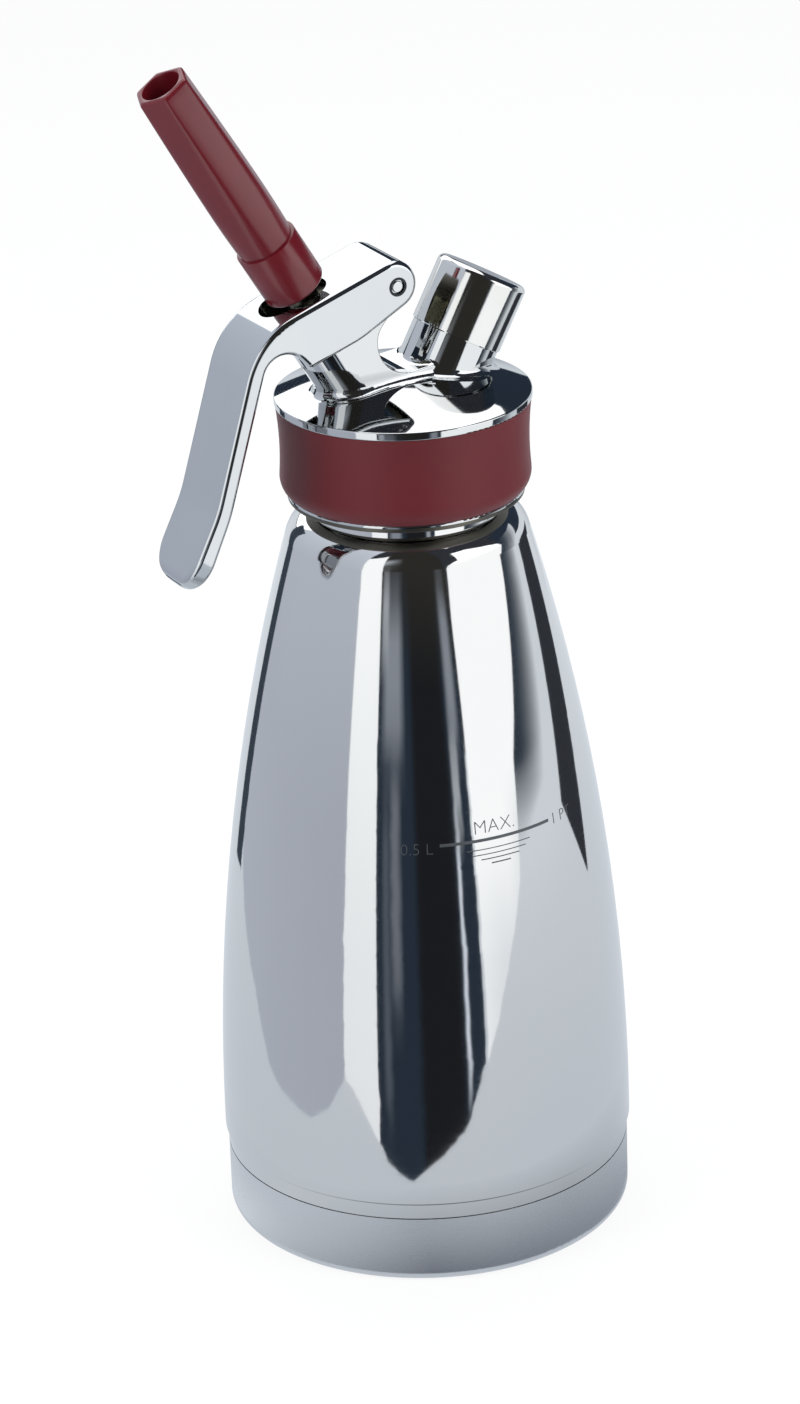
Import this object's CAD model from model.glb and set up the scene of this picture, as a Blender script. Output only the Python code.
import math

import bmesh
import bpy
from mathutils import Matrix, Quaternion, Vector


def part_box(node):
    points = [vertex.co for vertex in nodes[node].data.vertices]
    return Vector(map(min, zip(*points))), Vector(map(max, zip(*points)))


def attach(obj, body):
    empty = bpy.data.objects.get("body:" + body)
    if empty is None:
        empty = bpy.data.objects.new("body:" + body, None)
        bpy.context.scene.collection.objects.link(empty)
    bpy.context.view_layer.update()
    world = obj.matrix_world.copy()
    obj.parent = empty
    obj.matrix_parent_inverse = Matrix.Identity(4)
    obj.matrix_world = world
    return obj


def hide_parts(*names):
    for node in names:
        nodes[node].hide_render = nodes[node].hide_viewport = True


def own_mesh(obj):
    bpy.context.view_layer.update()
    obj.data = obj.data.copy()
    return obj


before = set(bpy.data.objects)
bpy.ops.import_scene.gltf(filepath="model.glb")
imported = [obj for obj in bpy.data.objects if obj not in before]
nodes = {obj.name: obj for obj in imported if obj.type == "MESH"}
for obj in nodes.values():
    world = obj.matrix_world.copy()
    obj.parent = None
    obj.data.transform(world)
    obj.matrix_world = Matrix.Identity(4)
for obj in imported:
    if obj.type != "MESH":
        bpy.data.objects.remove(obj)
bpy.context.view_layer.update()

MM = 0.001

# ---- the axes of the head's parts, from the CAD: the valve, the lever and the lever's pin
VALVE_FOOT = Vector((-9.3, 0, 217)) * MM
VALVE_AXIS = Vector((-0.5120, 0, 0.8590))
VALVE_SIDE = Vector((0.8590, 0, 0.5120))
LEVER_FOOT = Vector((-6.5, 0, 247.0))  # in millimetres, as the plating's limits are
LEVER_ALONG = Vector((-0.9489, 0, -0.3156))
LEVER_OUT = Vector((-0.3156, 0, 0.9489))
PIN = Vector((-5.7, 0, 246.8)) * MM

# ---- the flask's outer shell
FLASK_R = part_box("outer_shell")[1].x
FLANK_R = 572.6 * MM  # radius of the bow of its side
FLANK_FOOT = 25 * MM  # height where the bow starts


def flank(height):
    """How far the shell's side is from the flask's axis, at a height."""
    rise = height - FLANK_FOOT
    return FLASK_R - FLANK_R + math.sqrt(FLANK_R**2 - rise**2)


# ---- small tools


def linear(code, gain=1.0):
    """A colour written as sRGB hex, such as "8a1f28", as linear RGBA."""
    channels = [int(code[i : i + 2], 16) / 255 for i in (0, 2, 4)]
    powers = [c / 12.92 if c <= 0.04045 else ((c + 0.055) / 1.055) ** 2.4 for c in channels]
    return (*[gain * p for p in powers], 1.0)


def add(tree, kind, inputs=None, **settings):
    """A node with its settings; each input is a number, a colour or another node's socket."""
    node = tree.nodes.new(kind)
    for name, value in settings.items():
        setattr(node, name, value)
    for name, value in (inputs or {}).items():
        if isinstance(value, bpy.types.NodeSocket):
            tree.links.new(value, node.inputs[name])
        else:
            node.inputs[name].default_value = value
    return node


def blank(name):
    """A new material, its empty tree and its output."""
    material = bpy.data.materials.new(name)
    material.use_nodes = True
    tree = material.node_tree
    tree.nodes.clear()
    return material, tree, tree.nodes.new("ShaderNodeOutputMaterial")


def mixed(first, last, share):
    """A colour part of the way from one to another."""
    return [a + (b - a) * share for a, b in zip(first, last)]


def swell(value, low, high, soft):
    """1 from low to high, and 0 from soft away on either side."""
    return max(min((value - low) / soft + 1, (high - value) / soft + 1, 1), 0)


def show(name, mesh, material):
    """Makes a bmesh an object of the scene."""
    data = bpy.data.meshes.new(name)
    mesh.to_mesh(data)
    mesh.free()
    data.materials.append(material)
    shown = bpy.data.objects.new(name, data)
    bpy.context.scene.collection.objects.link(shown)
    return shown


def grains(size):
    """The scale of a noise whose grains are that many millimetres wide."""
    return 1 / (size * MM)


def surface(name, colour, roughness, grit, grit_depth, metallic=0.0, spread=0.04,
            tint=None, tint_size=20.0, stretch=(1, 1, 1), wave=None, wave_depth=0.0, **sockets):
    """A finish: its colour drifts a little to tint, and grit breaks its gloss.

    Sizes and depths are in millimetres. wave is a slower, larger unevenness of the surface, and
    stretch turns grit into the lines of a brush."""
    material, tree, out = blank(name)
    place = add(tree, "ShaderNodeTexCoord").outputs["Object"]
    drawn = add(tree, "ShaderNodeMapping", {"Vector": place, "Scale": stretch}).outputs["Vector"]
    fine = add(tree, "ShaderNodeTexNoise", {"Vector": drawn, "Scale": grains(grit), "Detail": 3.0})
    slow = add(tree, "ShaderNodeTexNoise", {"Vector": place, "Scale": grains(tint_size),
                                            "Detail": 2.0})
    drift = add(tree, "ShaderNodeMixRGB", {"Fac": slow.outputs["Fac"], "Color1": linear(colour),
                                           "Color2": linear(tint or colour)})
    gloss = add(tree, "ShaderNodeMapRange", {"Value": fine.outputs["Fac"],
                                             "From Min": 0.3, "From Max": 0.7,
                                             "To Min": roughness - spread / 2,
                                             "To Max": roughness + spread / 2})
    relief = add(tree, "ShaderNodeBump", {"Height": fine.outputs["Fac"], "Strength": 1.0,
                                          "Distance": grit_depth * MM})
    if wave:
        ripple = add(tree, "ShaderNodeTexNoise", {"Vector": place, "Scale": grains(wave),
                                                  "Detail": 1.0})
        relief = add(tree, "ShaderNodeBump", {"Height": ripple.outputs["Fac"], "Strength": 1.0,
                                              "Distance": wave_depth * MM,
                                              "Normal": relief.outputs["Normal"]})
    shader = add(tree, "ShaderNodeBsdfPrincipled", {
        "Base Color": drift.outputs["Color"], "Roughness": gloss.outputs["Result"],
        "Normal": relief.outputs["Normal"], "Metallic": metallic, **sockets})
    tree.links.new(shader.outputs["BSDF"], out.inputs["Surface"])
    return material


# ---- finishes

# Stainless steel, drawn, then buffed to a mirror: crisp reflections with the slight ripple of
# drawn sheet and the faint haze that a buffing wheel leaves in level lines.
mirror_steel = surface("mirror_buffed_stainless_steel", "dedddb", 0.06, grit=0.5,
                       grit_depth=0.00002, metallic=1.0, spread=0.03, tint="d9d9d9", tint_size=45,
                       stretch=(0.05, 0.05, 1), wave=40, wave_depth=0.004)

# The same steel, brushed round the cup: soft, level streaks of light.
satin_steel = surface("satin_brushed_stainless_steel", "dedede", 0.26, grit=0.35,
                      grit_depth=0.00006, metallic=1.0, spread=0.04, tint="d2d3d5", tint_size=30,
                      stretch=(0.03, 0.03, 1))

# Stainless steel left as it came from the spinning lathe and the pickling bath: greyer and duller.
spun_steel = surface("spun_stainless_steel", "a9a8a6", 0.24, grit=0.4, grit_depth=0.0008,
                     metallic=1.0, spread=0.12, tint="9c9b98", tint_size=12,
                     stretch=(0.05, 0.05, 1))

# Pressed getter capsule metal: dull grey and slightly grainy.
getter_metal = surface("pressed_getter_metal", "8c8e91", 0.55, grit=0.3, grit_depth=0.004,
                       metallic=1.0, spread=0.15, tint="7e8084", tint_size=5)

# Chrome plate on die-cast zinc: a cold mirror with the faint orange peel of the casting below.
chrome = surface("bright_chrome_on_die_cast_zinc", "cfd0d0", 0.05, grit=0.35, grit_depth=0.00002,
                 metallic=1.0, spread=0.02, tint="c8cacb", tint_size=15, wave=6, wave_depth=0.0012)

# Chrome plate on pressed sheet steel: flatter than the casting, with a long soft ripple.
pressed_chrome = surface("bright_chrome_on_pressed_steel", "c9cbcc", 0.055, grit=0.35,
                         grit_depth=0.00002, metallic=1.0, spread=0.02, tint="c3c6c9", tint_size=15,
                         wave=11, wave_depth=0.0012)

# Chrome plate on a turned brass cap: softer and a little warmer, from the tool's rings below it.
capped_chrome = surface("chrome_on_turned_brass", "dcdddd", 0.085, grit=0.35, grit_depth=0.00005,
                        metallic=1.0, spread=0.03, tint="cfcdc8", tint_size=12)

# Stainless bar turned on a lathe: fine rings round its axis in a darker steel.
turned_steel = surface("turned_stainless_bar", "6e6c60", 0.34, grit=0.3, grit_depth=0.0002,
                       metallic=1.0, spread=0.08, tint="605e54", tint_size=4)

# Free-cutting brass, turned: warm yellow with darker tool rings.
turned_brass = surface("turned_brass", "c9a86a", 0.24, grit=0.3, grit_depth=0.0003, metallic=1.0,
                       spread=0.1, tint="b8935a", tint_size=4)

# Moulded silicone rubber: matt wine red with the grain of a spark-eroded mould.
silicone = surface("moulded_red_silicone", "5e171f", 0.5, grit=0.3, grit_depth=0.004, spread=0.1,
                   tint="58151c", tint_size=14, **{"IOR": 1.41, "Sheen Weight": 0.04,
                                                   "Sheen Roughness": 0.5})

# Glass-filled nylon, moulded: a wine red with a soft, slightly uneven gloss.
nylon = surface("moulded_red_nylon", "5f121b", 0.24, grit=0.25, grit_depth=0.0004, spread=0.05,
                tint="58101a", tint_size=9, wave=6, wave_depth=0.002, **{"IOR": 1.53})

# White silicone seal, die-cut: soft and chalky.
seal_rubber = surface("die_cut_white_silicone", "d9d8d2", 0.6, grit=0.3, grit_depth=0.008,
                      spread=0.1, tint="cfcdc6", tint_size=8, **{"IOR": 1.41})

# Laser mark on polished steel: a matt dark oxide with no relief.
laser_mark = surface("laser_marked_steel", "5f6366", 0.5, grit=0.15, grit_depth=0.0006,
                     metallic=0.6, spread=0.2, tint="54585b", tint_size=2)

# Steel burnished by a countersink's edge: a dark, slightly scored ring.
countersink = surface("burnished_countersink", "3a3d41", 0.28, grit=0.2, grit_depth=0.0004,
                      metallic=1.0, spread=0.12, tint="2c2e31", tint_size=2)


def bare(material, colour, roughness, limits, radius=None):
    """Leaves the plating off where a place is short of every limit, each (direction, millimetres).

    radius keeps it near the flask's axis as well. What is left is dull and dark."""
    tree = material.node_tree
    shader = next(node for node in tree.nodes if node.type == "BSDF_PRINCIPLED")
    place = add(tree, "ShaderNodeTexCoord").outputs["Object"]
    reaches = []
    for direction, limit in limits:
        along = add(tree, "ShaderNodeVectorMath", {0: place, 1: direction}, operation="DOT_PRODUCT")
        reaches.append((along.outputs["Value"], limit))
    if radius:
        flat = add(tree, "ShaderNodeVectorMath", {0: place, 1: (1, 1, 0)}, operation="MULTIPLY")
        away = add(tree, "ShaderNodeVectorMath", {0: flat.outputs["Vector"]}, operation="LENGTH")
        reaches.append((away.outputs["Value"], radius))
    inside = 1.0
    for reach, limit in reaches:
        short = add(tree, "ShaderNodeMath", {0: reach, 1: limit * MM}, operation="LESS_THAN")
        inside = add(tree, "ShaderNodeMath", {0: short.outputs[0], 1: inside},
                     operation="MULTIPLY").outputs[0]
    for socket, value in (("Base Color", linear(colour)), ("Roughness", (roughness,) * 3 + (1.0,))):
        plated = shader.inputs[socket].links[0].from_socket
        left = add(tree, "ShaderNodeMixRGB", {"Fac": inside, "Color1": plated, "Color2": value})
        tree.links.new(left.outputs["Color"], shader.inputs[socket])


# The casting's bore and the lip of its foot are as cast, dark and dull: they take no plating.
BORE_R, BORE_TOP = 28.3, 206
LIP_R, LIP_TOP = 30, 192
UP = Vector((0, 0, 1))
bare(chrome, "5a5751", 0.42, [(UP, BORE_TOP)], radius=BORE_R)
bare(chrome, "6a675f", 0.38, [(UP, LIP_TOP)], radius=LIP_R)

# The hollow of the lever is dull too, under its plate and between its cheeks, and the lug that
# stands in it is only tumbled smooth before plating: a dark, olive satin.
CHEEK_INSIDE = 8.75
PLATE_INSIDE = 4.65  # out from the lever's foot
HOLLOW_LENGTH = 26  # along from the lever's foot
LUG_DEPTH = 6.5  # in from the lever's foot
LUG_END = 3  # its last x
BETWEEN_CHEEKS = [(Vector((0, side, 0)), CHEEK_INSIDE) for side in (1, -1)]
bare(pressed_chrome, "45433c", 0.5, BETWEEN_CHEEKS + [
    (LEVER_OUT, LEVER_OUT.dot(LEVER_FOOT) + PLATE_INSIDE),
    (LEVER_ALONG, LEVER_ALONG.dot(LEVER_FOOT) + HOLLOW_LENGTH)])
bare(chrome, "77745f", 0.3, BETWEEN_CHEEKS + [
    (-LEVER_OUT, LUG_DEPTH - LEVER_OUT.dot(LEVER_FOOT)), (Vector((1, 0, 0)), LUG_END)])

FINISHES = {
    mirror_steel: ["outer_shell"],
    satin_steel: ["base_cup", "outer_bottom"],
    spun_steel: ["inner_vessel", "neck_ring"],
    getter_metal: ["getter"],
    chrome: ["head_casting", "lever_pin"],
    capped_chrome: ["charger_cap"],
    pressed_chrome: ["press_lever"],
    turned_steel: ["valve_stem", "valve_nut", "valve_spring", "piercing_pin"],
    turned_brass: ["piercing_body", "check_valve", "guide_bush"],
    silicone: ["grip_band"],
    nylon: ["nozzle"],
    seal_rubber: ["head_gasket", "stem_o_ring", "port_seal", "valve_gasket", "nozzle_seal",
                  "cap_liner"],
}
for finish, names in FINISHES.items():
    for name in names:
        for held in nodes[name].material_slots:
            held.material = finish


# ---- pieces of the scene's own
WELD = 1e-7
CREASE = 32  # degrees: a flatter edge is shaded smooth


def piece(name, mesh, finish, body, crease=None):
    """Closes a bmesh into a named piece that rides a body.

    With crease, it is shaded smooth, except at edges sharper than so many degrees."""
    bmesh.ops.remove_doubles(mesh, verts=mesh.verts, dist=WELD)
    bmesh.ops.recalc_face_normals(mesh, faces=mesh.faces)
    if crease:
        for face in mesh.faces:
            face.smooth = True
        for edge in mesh.edges:
            edge.smooth = edge.calc_face_angle(0) < math.radians(crease)
    shown = show(name, mesh, finish)
    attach(shown, body)
    return shown


# ---- the fill mark, lasered on the shell's side: a level line, shorter lines below, and words
MARK_TURN = -92.0  # degrees round the flask's axis, the middle of the mark
MARK_PROUD = 0.03 * MM
CAPITAL = 0.73  # the font's capitals, as a share of its size
THINNER = 0.022  # how far each stroke's edge is drawn in, as a share of the size
LEVEL_LINES = [  # height, thickness and half its length in degrees
    (115.9, 0.75, 19.5),
    (113.6, 0.22, 11.0),
    (112.3, 0.22, 9.2),
    (111.1, 0.25, 6.6),
    (109.9, 0.3, 3.3),
]
WORDS = [  # text, turn of its first letter, height of its foot, height of its letters
    ("MAX.", -100.6, 117.5, 3.5),
    ("0.5 L", -124.0, 113.9, 3.0),
    ("1 PT", -71.4, 114.4, 3.0),
]


def level_line(mesh, height, thickness, half):
    """A thin bar that follows the shell round."""
    made = bmesh.ops.create_grid(mesh, x_segments=1, y_segments=1, size=0.5)["verts"]
    start = Matrix.Rotation(math.radians(MARK_TURN - half), 3, "Z")
    for vert in made:
        z = height * MM + vert.co.y * thickness * MM
        vert.co = start @ Vector((flank(z) + vert.co.x * 2 * MARK_PROUD, 0, z))
    faces = [face for face in mesh.faces if made[0] in face.verts]
    bmesh.ops.spin(mesh, geom=made + list(faces[0].edges) + faces, cent=(0, 0, 0), axis=(0, 0, 1),
                   angle=math.radians(2 * half), steps=max(6, round(half)))


def lettering(text, turn, foot, tall):
    """The outlines of a word, bent round the shell's side."""
    curve = bpy.data.curves.new(text, "FONT")
    curve.body = text
    curve.size = tall / CAPITAL * MM
    curve.offset = -THINNER * curve.size
    curve.extrude = MARK_PROUD
    curve.resolution_u = 3
    flat = bpy.data.objects.new(text, curve)
    bpy.context.scene.collection.objects.link(flat)
    bpy.context.view_layer.update()
    graph = bpy.context.evaluated_depsgraph_get()
    data = bpy.data.meshes.new_from_object(flat.evaluated_get(graph))
    bpy.data.objects.remove(flat)
    for vert in data.vertices:
        z = foot * MM + vert.co.y
        spread = math.radians(turn) + vert.co.x / flank(z)
        out = flank(z) + vert.co.z
        vert.co = (out * math.cos(spread), out * math.sin(spread), z)
    return data


mark = bmesh.new()
for line in LEVEL_LINES:
    level_line(mark, *line)
for word in WORDS:
    bent = lettering(*word)
    mark.from_mesh(bent)
    bpy.data.meshes.remove(bent)
piece("fill_mark", mark, laser_mark, "flask")

# ---- the nozzle: a hexagon with soft corners that swells to a belly and goes round at the collar
HEX_TURN = math.radians(9)  # a corner, from the valve's side
SIDES = 6
SEGMENTS = 144
FOOT, FOOT_R, FOOT_EDGE = 36.4, 6.85, 0.9  # its rises are along the valve's axis, in millimetres
SEAT_R, SEAT_TOP = 5.4, 37.7  # the recess of the nozzle's seal
THREAD_R, THREAD_TOP = 4.1, 46.5
COLLAR_R, COLLAR_TOP, COLLAR_EDGE = 7.72, 50.8, (0.18, 0.16)  # its edge is rounded up and in
STEP_R, HEX_FOOT, HEX_START = 7.18, 50.85, 51.1
THROAT_R, MOUTH_R, MOUTH_EDGE = 2.9, 4.86, (0.3, 0.26)
TIP, LIP = 99.9, 1.0  # its far end, and the radius that its edge is rounded to
WAIST_R, BELLY_R, TIP_R = 7.1, 7.68, 7.1  # to the corners
BELLY_PLACE = 0.31  # where it is widest, as a share of the way from the collar to the tip
FLAT_FOOT, FLAT_TIP = 7.42, 6.20  # half its width across the flats
TAPER = 1.5  # the power of the share by which both grow smaller
CORNER_FOOT, CORNER_TIP = 18, 34  # how hard its corners are
STRAIGHT_STEPS = 30


def hexed(rise, turn):
    """How far the skin is from the axis: six flats, kept in by the belly, with soft corners."""
    share = (rise - COLLAR_TOP) / (TIP - COLLAR_TOP)
    if share < BELLY_PLACE:
        belly = WAIST_R + (BELLY_R - WAIST_R) * math.sin(math.pi / 2 * share / BELLY_PLACE)
    else:
        belly = BELLY_R + (TIP_R - BELLY_R) * ((share - BELLY_PLACE) / (1 - BELLY_PLACE)) ** TAPER
    flat = FLAT_FOOT + (FLAT_TIP - FLAT_FOOT) * share ** TAPER
    sector = 2 * math.pi / SIDES
    face = flat / math.cos((turn - HEX_TURN) % sector - sector / 2)
    hardness = CORNER_FOOT + (CORNER_TIP - CORNER_FOOT) * share ** 2
    return (face ** -hardness + belly ** -hardness) ** (-1 / hardness)


def quarter(steps):
    """The sine, and one less the cosine, of each step round a quarter turn."""
    turns = [math.pi / 2 * step / steps for step in range(1, steps + 1)]
    return [(math.sin(turn), 1 - math.cos(turn)) for turn in turns]


def nozzle_rings():
    """The skin's rings as (rise, radius), up the outside and then down inside.

    Above the collar, the radius is a function of the turn."""
    yield FOOT, SEAT_R
    yield FOOT, FOOT_R
    for out, up in quarter(5):
        yield FOOT + FOOT_EDGE * up, FOOT_R + (COLLAR_R - FOOT_R) * out
    yield COLLAR_TOP - COLLAR_EDGE[0], COLLAR_R
    for up, back in quarter(2):
        yield COLLAR_TOP + COLLAR_EDGE[0] * (up - 1), COLLAR_R - COLLAR_EDGE[1] * back
    yield COLLAR_TOP, STEP_R
    yield HEX_FOOT, lambda turn: hexed(HEX_FOOT, turn)
    for step in range(STRAIGHT_STEPS + 1):
        rise = HEX_START + (TIP - LIP - HEX_START) * step / STRAIGHT_STEPS
        yield rise, lambda turn, rise=rise: hexed(rise, turn)
    for up, back in quarter(6):
        yield TIP - LIP + LIP * up, lambda turn, back=back: hexed(TIP - LIP, turn) - LIP * back
    yield TIP, MOUTH_R + MOUTH_EDGE[1]
    for back, down in quarter(2):
        yield TIP - MOUTH_EDGE[0] * down, MOUTH_R + MOUTH_EDGE[1] * (1 - back)
    yield THREAD_TOP, THROAT_R
    yield THREAD_TOP, THREAD_R
    yield SEAT_TOP, THREAD_R
    yield SEAT_TOP, SEAT_R


skin = bmesh.new()
rings = list(nozzle_rings())
loops = [bmesh.ops.create_circle(skin, segments=SEGMENTS, radius=1.0)["verts"]]
edges = list(skin.edges)
while len(loops) < len(rings):
    made = bmesh.ops.extrude_edge_only(skin, edges=edges)["geom"]
    edges = [item for item in made if isinstance(item, bmesh.types.BMEdge) and item.is_boundary]
    loops.append([item for item in made if isinstance(item, bmesh.types.BMVert)])
for loop, (rise, radius) in zip(loops, rings):
    for vert in loop:
        turn = math.atan2(vert.co.y, vert.co.x) + HEX_TURN
        reach = radius(turn) if callable(radius) else radius
        away = VALVE_SIDE * math.cos(turn) + Vector((0, 1, 0)) * math.sin(turn)
        vert.co = VALVE_FOOT + (VALVE_AXIS * rise + away * reach) * MM
bmesh.ops.bridge_loops(skin, edges=[edge for edge in skin.edges if edge.is_boundary])
shell = piece("nozzle_skin", skin, nylon, "nozzle", crease=CREASE)
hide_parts("nozzle")

# ---- the valve's spring, which shortens as the lever presses the stem down
coils = bmesh.new()
coils.from_mesh(nodes["valve_spring"].data)
spring = piece("valve_spring_coils", coils, turned_steel, "head", crease=CREASE)
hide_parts("valve_spring")
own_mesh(spring)

# ---- the burnished countersink round each end of the lever's pin, seen as a thin dark ring
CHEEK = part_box("press_lever")[1].y
PIN_END_R, SINK_R = 1.72 * MM, 2.35 * MM
SINK_PROUD = 0.02 * MM
ring = bmesh.new()
for side in (-1, 1):
    upright = Matrix.Translation(PIN + Vector((0, side * CHEEK, 0))) @ Matrix.Rotation(
        math.radians(90), 4, "X")
    rims = [bmesh.ops.create_circle(ring, segments=64, radius=radius, matrix=upright)["verts"]
            for radius in (SINK_R, PIN_END_R)]
    edges = list({edge for vert in rims[0] + rims[1] for edge in vert.link_edges})
    flat = bmesh.ops.bridge_loops(ring, edges=edges)["faces"]
    lifted = bmesh.ops.extrude_face_region(ring, geom=flat)["geom"]
    top = [item for item in lifted if isinstance(item, bmesh.types.BMVert)]
    bmesh.ops.translate(ring, verts=top, vec=(0, side * SINK_PROUD, 0))
piece("pin_countersink", ring, countersink, "lever")

# ---- the studio: turns are degrees round the flask from the side that faces the camera
FRONT = math.radians(-118.17)
RING = 0.16
COLUMNS, ROWS = 80, 30


def about(turn, radius, height):
    """A point at a turn, a distance from the flask's axis and a height."""
    angle = FRONT + math.radians(turn)
    return Vector((radius * math.cos(angle), radius * math.sin(angle), height))


def between(stops, place):
    """The value at a place along a list of stops, each (place, value or values)."""
    low, first = stops[0]
    for high, last in stops[1:]:
        if place < high:
            break
        low, first = high, last
    else:
        return first
    part = min(max((place - low) / (high - low), 0), 1)
    if isinstance(first, (int, float)):
        return first + (last - first) * part
    return mixed(first, last, part)


# what the cards give off, as linear colours
GREY = (0.52, 0.56, 0.65)
PALE_GREY = (0.82, 0.88, 0.99)
LIT_GREY = (0.62, 0.67, 0.76)
WHITE = (1.30, 1.33, 1.35)
SOFT_WHITE = (1.09, 1.13, 1.16)
BRIGHT = (1.85, 1.88, 1.92)
BLACK = (0.015, 0.016, 0.019)
COAL = (0.032, 0.031, 0.028)
NAVY = (0.024, 0.036, 0.056)
INK = (0.036, 0.040, 0.050)
SLATE = (0.10, 0.12, 0.15)
DIM = (0.18, 0.20, 0.24)
MIST = (0.30, 0.33, 0.38)
STEEL_GREY = (0.46, 0.50, 0.55)
PAVED = (0.66, 0.71, 0.78)  # the floor, as metal shows it
FAR_FLOOR = (0.80, 0.86, 0.92)


def glow_material():
    """A studio card, lit flat: it shows only in what is glossy, and lights nothing else."""
    material, tree, out = blank("studio_card")
    colour = add(tree, "ShaderNodeAttribute", attribute_name="glow")
    light = add(tree, "ShaderNodeEmission", {"Color": colour.outputs["Color"], "Strength": 1.0})
    tree.links.new(light.outputs["Emission"], out.inputs["Surface"])
    material.cycles.emission_sampling = "NONE"
    return material


card_light = glow_material()


def card(name, corners, glow):
    """A studio card: corners(across, up) places it, and glow(across, up) is its colour there."""
    mesh = bmesh.new()
    bmesh.ops.create_grid(mesh, x_segments=COLUMNS, y_segments=ROWS, size=0.5)
    layer = mesh.verts.layers.float_color.new("glow")
    for vert in mesh.verts:
        across, up = vert.co.x + 0.5, vert.co.y + 0.5
        vert[layer] = (*glow(across, up), 1.0)
        vert.co = corners(across, up)
    shown = show(name, mesh, card_light)
    for kind in ("camera", "diffuse", "transmission", "shadow", "volume_scatter"):
        setattr(shown, "visible_" + kind, False)


def ring_card(name, rows, glow, radius=RING, foot=None):
    """A card that stands round the flask; rows are (height, left turn, right turn), foot to top.

    glow gives its colour at a height, a turn and a share of the way across.
    foot is the path that it follows on the floor, as (turn, distance)."""
    stops = [(index / (len(rows) - 1), row) for index, row in enumerate(rows)]

    def place(across, up):
        height, left, right = between(stops, up)
        return height, left + (right - left) * across

    def corners(across, up):
        height, turn = place(across, up)
        return about(turn, between(foot, turn) if foot else radius, height)

    card(name, corners, lambda across, up: glow(*place(across, up), across))


def tones(rows):
    """A ring card's glow: rows are (height, [(turn, colour), ...]), lowest first."""

    def glow(height, turn, across):
        return between([(level, between(stops, turn)) for level, stops in rows], height)

    return glow


def plain(colour):
    """A ring card's glow in one colour."""
    return tones([(0, [(0, colour)])])


# a grey screen on the left, from the floor up
SCREEN_TOP = 0.62
SCREEN_PATH = [(-134, 0.36), (-118, 0.276), (-85, 0.162), (-75, 0.146), (-57, 0.14), (-47.5, 0.152),
               (-40, 0.191)]
ring_card("grey_wall", [(0, -134, -40), (SCREEN_TOP, -134, -40)],
          tones([(0.1, [(-100, GREY), (-42, mixed(BLACK, GREY, 0.92))]), (0.25, [(0, LIT_GREY)]),
                 (SCREEN_TOP, [(0, PALE_GREY)])]), foot=SCREEN_PATH)

# the foot of the window's screen and of the dark curtain, which comes nearer in front
FRONT_PATH = [(-41, 0.196), (-18, 0.121), (-13, 0.113), (-7, 0.107), (12, 0.134), (20, 0.154),
              (30, 0.21)]
WINDOW_EDGE = -21.6
ring_card("window", [(0, -40.5, WINDOW_EDGE), (0.34, -40.5, WINDOW_EDGE)],
          tones([(0, [(0, mixed(GREY, WHITE, 0.65))]), (0.08, [(0, SOFT_WHITE)]),
                 (0.2, [(0, WHITE)])]), foot=FRONT_PATH)

# folds of the curtain that catch the light: left and right turn, how softly they fade in degrees,
# lowest and highest height, and colour
FOLDS = [
    (-16.8, -15.6, 2.0, 0.030, 0.110, SLATE),
    (-12.2, -10.5, 2.5, 0.070, 0.120, DIM),
    (-16.0, -9.0, 4.0, 0.150, 0.175, MIST),
    (-19.0, -16.5, 2.0, 0.180, 0.185, STEEL_GREY),
    (20.2, 21.2, 0.9, 0.020, 0.100, PALE_GREY),
    (21.0, 24.0, 1.5, 0.118, 0.130, STEEL_GREY),
    (22.5, 25.5, 3.0, 0.150, 0.185, MIST),
    (-22.0, -18.0, 12.0, 0.245, 0.260, STEEL_GREY),
]
FOLD_FADE = 0.02  # how softly they end, above and below


def cloth(height, turn, across):
    """The dark curtain: navy at its sides, black in the middle, warmer towards its top."""
    colour = mixed(NAVY, BLACK, swell(turn, 0, 17, 3))
    colour = mixed(colour, COAL, swell(height, 0.2, SCREEN_TOP, 0.04))
    for left, right, soft, low, high, lit in FOLDS:
        share = swell(turn, left, right, soft) * swell(height, low, high, FOLD_FADE)
        colour = mixed(colour, lit, share)
    return colour


def twilight(height, turn, across):
    """Navy at the left that fades to the far floor's colour at the right and at the foot."""
    return mixed(FAR_FLOOR, NAVY, (1 - across ** 2.6) * swell(height, 0.12, SCREEN_TOP, 0.03))


ring_card("curtain", [(0, WINDOW_EDGE, 30), (0.2, WINDOW_EDGE, 30), (SCREEN_TOP, WINDOW_EDGE, 30)],
          cloth, foot=FRONT_PATH)

# a softbox on the right, with the dusk beyond its edge, and two flags
ring_card("softbox", [(0.02, 30, 30.5), (0.08, 30, 54), (0.122, 30, 60), (0.183, 30, 84),
                      (0.225, 33, 92), (0.245, 44, 90), (0.33, 46, 62)],
          tones([(0.05, [(30, SOFT_WHITE), (41, mixed(GREY, WHITE, 0.55))]),
                 (0.1, [(48, WHITE), (57, SOFT_WHITE)]), (0.12, [(0, WHITE)]),
                 (0.225, [(0, WHITE)]), (0.25, [(0, BRIGHT)])]))
ring_card("dusk", [(0.09, 54, 58), (0.105, 57, 80), (0.135, 62, 92), (0.183, 80, 108),
                   (0.26, 90, 128)], twilight, radius=RING + 0.002)
ring_card("black_flag", [(0.056, 106, 107), (0.09, 91, 113), (0.13, 101, 125), (0.18, 115, 140)],
          plain(INK), radius=RING + 0.001)
ring_card("left_flag", [(0.05, -131, -121.5), (0.25, -135, -121.5)],
          plain(mixed(NAVY, SLATE, 0.3)))

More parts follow.
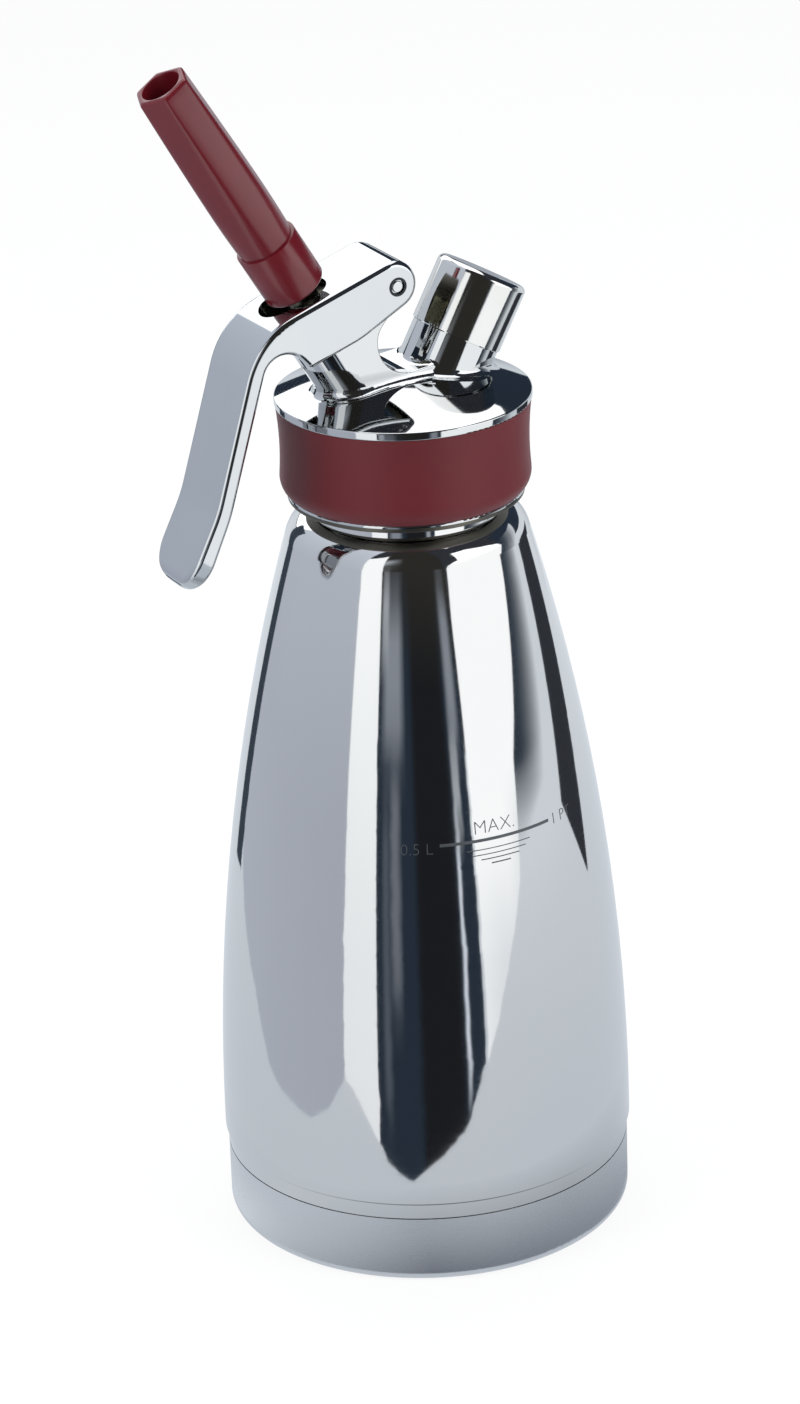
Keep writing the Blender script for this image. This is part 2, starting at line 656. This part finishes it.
# the floor close to the cup is darker in front and on the right, and the cup shows only that
CUP_EDGE = 0.0525
SHADE_REACH = [(-60, 0.09), (0, 0.102)]
SHADE_RISE = 0.0006  # above the floor
SHADE = [(0, [(-180, STEEL_GREY), (-75, FAR_FLOOR), (0, DIM), (60, MIST), (110, STEEL_GREY)]),
         (0.5, [(-60, PAVED), (0, STEEL_GREY), (60, STEEL_GREY), (120, PAVED)]),
         (1, [(0, PAVED)])]  # shares of the way out, with the colours round the cup


def shade_corner(across, out):
    """A point of the floor's shade, which goes all the way round the cup."""
    turn = 360 * across - 180
    return about(turn, CUP_EDGE + (between(SHADE_REACH, turn) - CUP_EDGE) * out, SHADE_RISE)


card("cup_shade", shade_corner, lambda across, out: tones(SHADE)(out, 360 * across - 180, across))


def ceiling(across, up):
    """A softbox overhead, a little behind the flask."""
    return about(90, 0.64 * across - 0.32, 0.85) + about(180, up - 0.16, 0)


card("top_softbox", ceiling, lambda across, up: BRIGHT)

# behind the flask: a softbox, two dark flags and the edge of the floor
ring_card("back_softbox", [(0.30, 180, 226), (0.95, 180, 226)], plain(BRIGHT), radius=0.6)
ring_card("back_flag", [(0.27, 100, 172), (0.60, 100, 172)], plain(NAVY), radius=0.5)
ring_card("back_strip", [(0.27, 172, 203), (0.36, 172, 203)], plain(NAVY), radius=0.5)
ring_card("horizon", [(-0.01, 100, 230), (0.29, 100, 230)],
          tones([(0.1, [(145, FAR_FLOOR), (163, mixed(MIST, FAR_FLOOR, 0.55)), (177, MIST),
                        (205, FAR_FLOOR)]), (0.27, [(0, FAR_FLOOR)])]), radius=0.62)

ROOM = 5.0


def dome(across, up):
    """The dark room round the studio."""
    height = math.radians(90 * up)
    return about(360 * across, ROOM * math.cos(height), ROOM * math.sin(height))


card("room", dome, lambda across, up: INK)

# ---- the floor: white paint to the eye, and the pale grey of a table in what is glossy
DIRECT = 0.88  # how much of its white is light of its own, which hides the edge of the lamps' light
FLOOR_R = 8.0
TABLE_FAR = 0.6  # from here on, what is glossy shows it as far floor
MOTTLES = 40.0  # the scale of the paint's slight drift of tone
floor_material, tree, out = blank("white_painted_floor")
rays = add(tree, "ShaderNodeLightPath")
place = add(tree, "ShaderNodeTexCoord").outputs["Object"]
grain = add(tree, "ShaderNodeTexNoise", {"Vector": place, "Scale": MOTTLES, "Detail": 3.0})
paint = add(tree, "ShaderNodeMixRGB", {"Fac": grain.outputs["Fac"], "Color1": linear("f4f4f4"),
                                       "Color2": linear("f0f1f2")})
matt = add(tree, "ShaderNodeBsdfDiffuse", {"Color": paint.outputs["Color"]})
white = add(tree, "ShaderNodeEmission", {"Color": (1, 1, 1, 1), "Strength": 1.0})
reach = add(tree, "ShaderNodeVectorMath", {0: place}, operation="LENGTH")
fade = add(tree, "ShaderNodeMapRange", {"Value": reach.outputs["Value"], "From Min": FLASK_R,
                                        "From Max": TABLE_FAR})
ramp = add(tree, "ShaderNodeValToRGB", {"Fac": fade.outputs["Result"]})
for stop, colour in zip(ramp.color_ramp.elements, (PAVED, FAR_FLOOR)):
    stop.color = (*colour, 1)
table = add(tree, "ShaderNodeEmission", {"Color": ramp.outputs["Color"], "Strength": 1.0})
seen = add(tree, "ShaderNodeMath", {0: rays.outputs["Is Camera Ray"], 1: DIRECT},
           operation="MULTIPLY")
clean = add(tree, "ShaderNodeMixShader", {0: seen.outputs[0], 1: matt.outputs[0],
                                          2: white.outputs[0]})
both = add(tree, "ShaderNodeMixShader", {0: rays.outputs["Is Glossy Ray"], 1: clean.outputs[0],
                                         2: table.outputs[0]})
tree.links.new(both.outputs[0], out.inputs["Surface"])

ground = bmesh.new()
bmesh.ops.create_circle(ground, cap_ends=True, segments=96, radius=FLOOR_R)
floor = show("floor", ground, floor_material)

# ---- the world: white behind the object, and a soft even light
EVEN = 0.55
world = bpy.data.worlds.new("studio")
bpy.context.scene.world = world
world.use_nodes = True
tree = world.node_tree
tree.nodes.clear()
rays = add(tree, "ShaderNodeLightPath")
even = add(tree, "ShaderNodeBackground", {"Color": (0.96, 0.98, 1.0, 1), "Strength": EVEN})
white = add(tree, "ShaderNodeBackground", {"Color": (1, 1, 1, 1), "Strength": 1.0})
pale = add(tree, "ShaderNodeMath", {0: rays.outputs["Is Camera Ray"],
                                    1: rays.outputs["Is Glossy Ray"]}, operation="MAXIMUM")
pale = add(tree, "ShaderNodeMath", {0: pale.outputs[0], 1: rays.outputs["Is Transmission Ray"]},
           operation="MAXIMUM")
both = add(tree, "ShaderNodeMixShader", {0: pale.outputs[0], 1: even.outputs[0],
                                         2: white.outputs[0]})
tree.links.new(both.outputs[0], add(tree, "ShaderNodeOutputWorld").inputs["Surface"])


AIM = Vector((0, 0, 0.2))


def lamp(name, turn, radius, height, size, power):
    """A soft square lamp that looks at the object; metal shows the cards in place of it."""
    light = bpy.data.lights.new(name, "AREA")
    light.shape = "SQUARE"
    light.size = size
    light.energy = power
    shown = bpy.data.objects.new(name, light)
    place = about(turn, radius, height)
    shown.matrix_world = Matrix.LocRotScale(place, (AIM - place).to_track_quat("-Z", "Y"), None)
    shown.visible_glossy = False
    bpy.context.scene.collection.objects.link(shown)


lamp("window_lamp", -60, 1.1, 0.9, 0.7, 9)
lamp("softbox_lamp", 60, 1.1, 0.8, 0.7, 9)
lamp("top_lamp", 180, 0.5, 1.3, 0.9, 8)

# ---- the camera
SPOT = Vector((-0.54389, -1.01581, 0.61992))
LOOK = Vector((0.43276, 0.81390, -0.38767))
ROLL = math.radians(-2.021)
lens = bpy.data.cameras.new("camera")
lens.lens = 129.43
lens.clip_start = 0.05
lens.clip_end = 50
camera = bpy.data.objects.new("camera", lens)
camera.matrix_world = Matrix.LocRotScale(
    SPOT, LOOK.to_track_quat("-Z", "Y") @ Quaternion((0, 0, 1), ROLL), None)
bpy.context.scene.collection.objects.link(camera)
bpy.context.scene.camera = camera
bpy.context.scene.view_settings.view_transform = "Standard"
